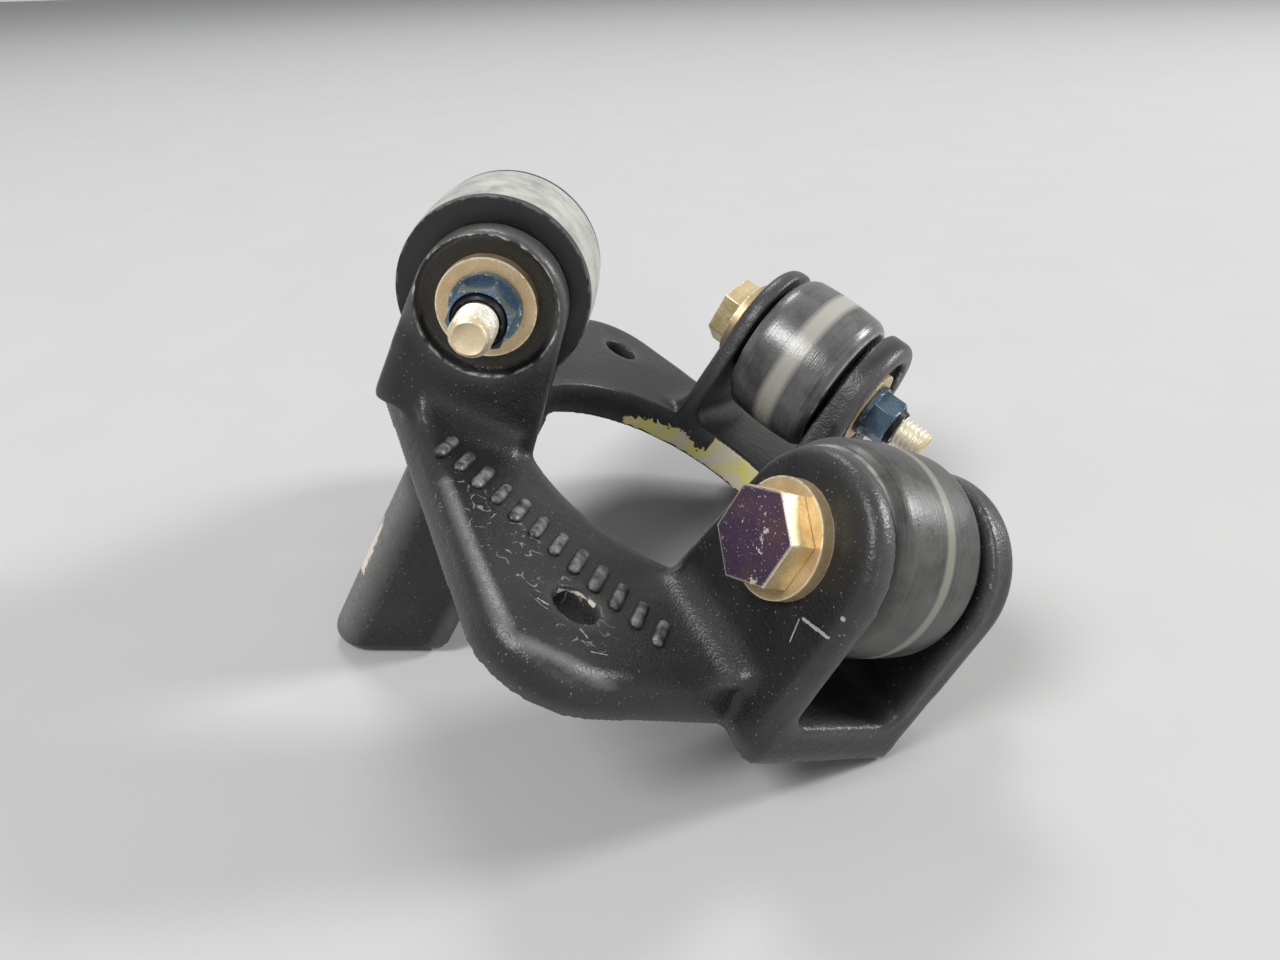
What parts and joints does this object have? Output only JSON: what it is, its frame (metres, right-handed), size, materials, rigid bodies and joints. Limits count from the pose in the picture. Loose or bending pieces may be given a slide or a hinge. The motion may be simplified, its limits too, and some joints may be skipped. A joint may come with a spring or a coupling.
{
  "type": "three-roller tube guide collar",
  "caption": "Cast ring with forked arms whose crowned rollers guide a sliding control tube, with bolt lobes for a panel and a bushed leg below.",
  "frame": {"origin": "centre of the ring on its flat mounting face", "axes": "+Z is the axis of the guided tube, towards the rollers; the leg and the fork over it are at -X; the two mounting lobes are at -Y and +Y"},
  "size_m": [0.0778, 0.0934, 0.0652],
  "materials": {
    "casting_paint": "satin black paint over cream primer on a cast light alloy, worn along its edges",
    "roller": "dull charcoal moulded roller, scuffed lighter along the middle of its tread",
    "roller_bush": "oil-darkened bearing bronze",
    "sleeve": "ground steel",
    "thrust_washer": "dark plastic",
    "washer": "gold passivated plating, a little dirty",
    "bolt": "gold and violet passivated plating, chipped",
    "locknut": "blue-black passivated plating",
    "leg_bush": "dull steel"
  },
  "bodies": {
    "collar": {"collar_casting": "casting_paint", "leg_bush": "leg_bush", "sleeve_a": "sleeve", "thrust_washers_a": "thrust_washer", "head_washer_a": "washer", "nut_washer_a": "washer", "bolt_a": "bolt", "locknut_a": "locknut", "sleeve_b": "sleeve", "thrust_washers_b": "thrust_washer", "head_washer_b": "washer", "nut_washer_b": "washer", "bolt_b": "bolt", "locknut_b": "locknut", "sleeve_c": "sleeve", "thrust_washers_c": "thrust_washer", "head_washer_c": "washer", "nut_washer_c": "washer", "bolt_c": "bolt", "locknut_c": "locknut"},
    "roller_body_a": {"roller_a": "roller", "bush_a": "roller_bush"},
    "roller_body_b": {"roller_b": "roller", "bush_b": "roller_bush"},
    "roller_body_c": {"roller_c": "roller", "bush_c": "roller_bush"}
  },
  "joints": [
    {"name": "roller_a_spin", "type": "hinge", "parent": "collar", "child": "roller_body_a", "pos_m": [-0.03095, 0, 0.02], "axis": [0, -1, 0], "continuous": true},
    {"name": "roller_b_spin", "type": "hinge", "parent": "collar", "child": "roller_body_b", "pos_m": [0.01547, -0.0268, 0.02], "axis": [0.866, 0.5, 0], "continuous": true},
    {"name": "roller_c_spin", "type": "hinge", "parent": "collar", "child": "roller_body_c", "pos_m": [0.01547, 0.0268, 0.02], "axis": [-0.866, 0.5, 0], "continuous": true}
  ]
}
